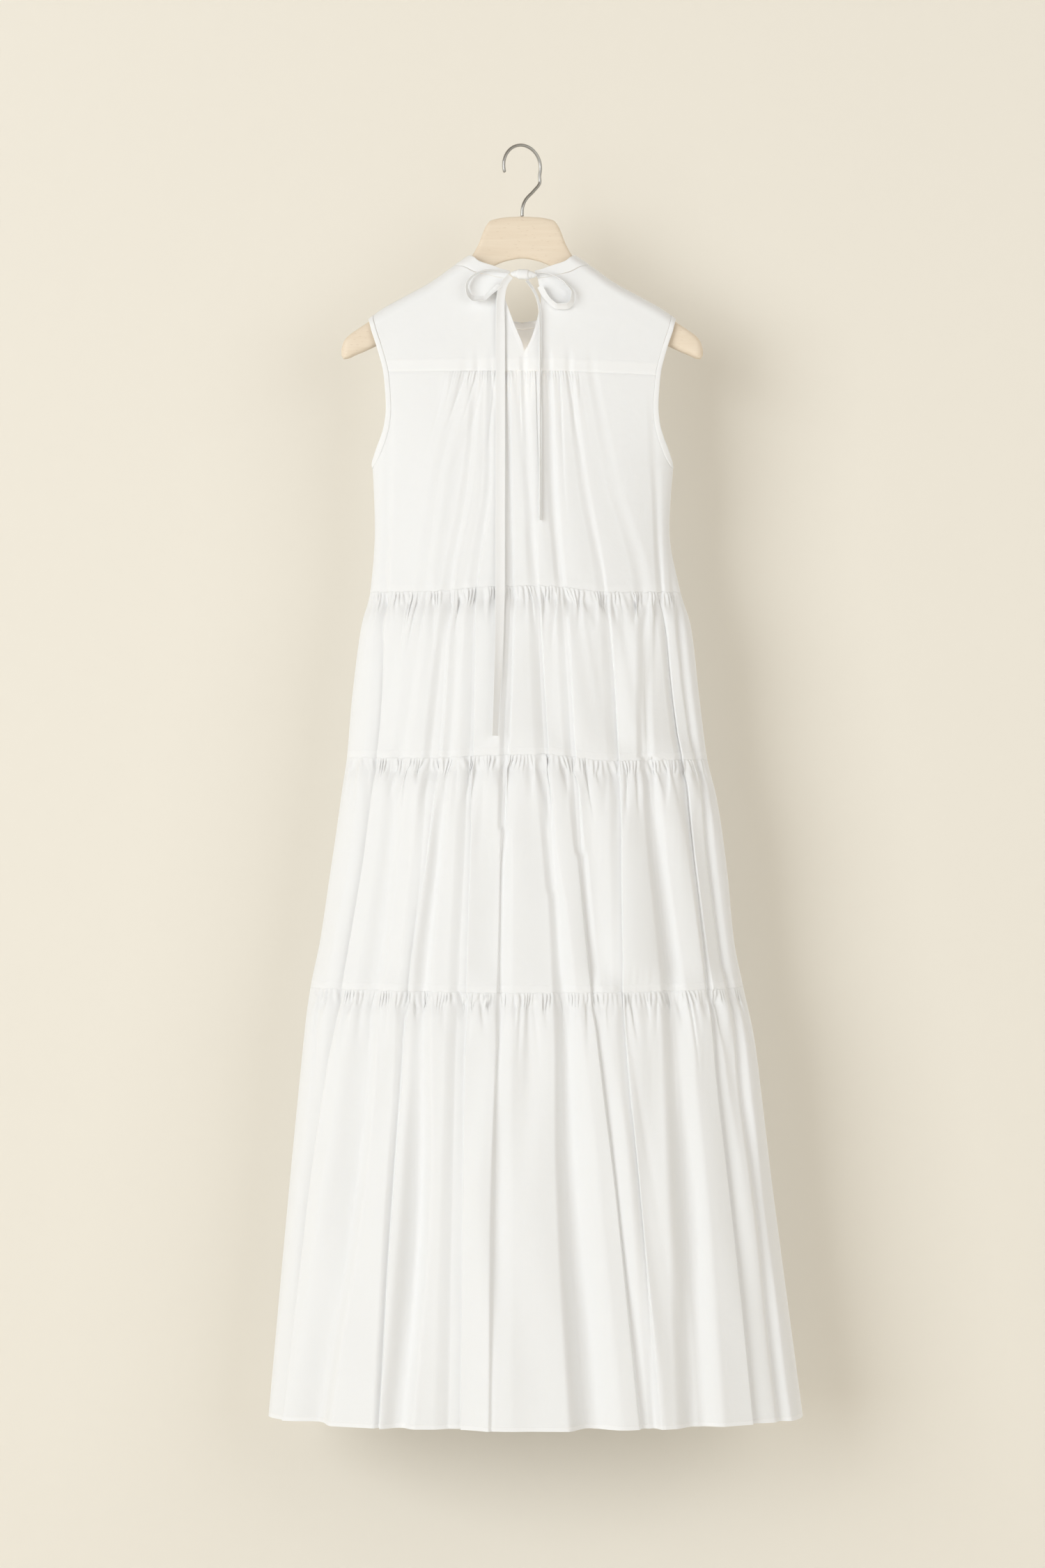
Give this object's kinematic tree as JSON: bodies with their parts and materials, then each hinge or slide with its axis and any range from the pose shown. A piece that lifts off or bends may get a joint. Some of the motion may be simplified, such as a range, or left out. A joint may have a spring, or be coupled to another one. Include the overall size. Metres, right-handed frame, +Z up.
{
  "type": "maxi dress on a hanger",
  "caption": "Sleeveless maxi dress in white cotton with gathered tiers, a yoke and a keyhole tied in a bow at the back neck, hanging on a contoured wooden hanger.",
  "frame": {"origin": "inside top of the hanger's hook, where it rests on a rail", "axes": "+Z up, X across the shoulders, -Y towards the back of the dress with its bow (the side in the picture)"},
  "size_m": [0.6142, 0.2005, 1.4597],
  "materials": {
    "white_cotton": "crisp plain-weave cotton, soft sheen",
    "pale_wood": "smooth, matt",
    "satin_steel": "satin"
  },
  "bodies": {
    "root": {"hanger_body": "pale_wood", "hanger_hook": "satin_steel", "back_yoke": "white_cotton", "back_bodice": "white_cotton", "front_bodice": "white_cotton", "neckband": "white_cotton", "armhole_binding_left": "white_cotton", "armhole_binding_right": "white_cotton", "tie_knot": "white_cotton", "tie_loop_left": "white_cotton", "tie_loop_right": "white_cotton", "tie_tail_left": "white_cotton", "tie_tail_right": "white_cotton", "tier_1_back": "white_cotton", "tier_1_front": "white_cotton", "tier_2_back": "white_cotton", "tier_2_front": "white_cotton", "tier_3_back": "white_cotton", "tier_3_front": "white_cotton"}
  },
  "joints": []
}
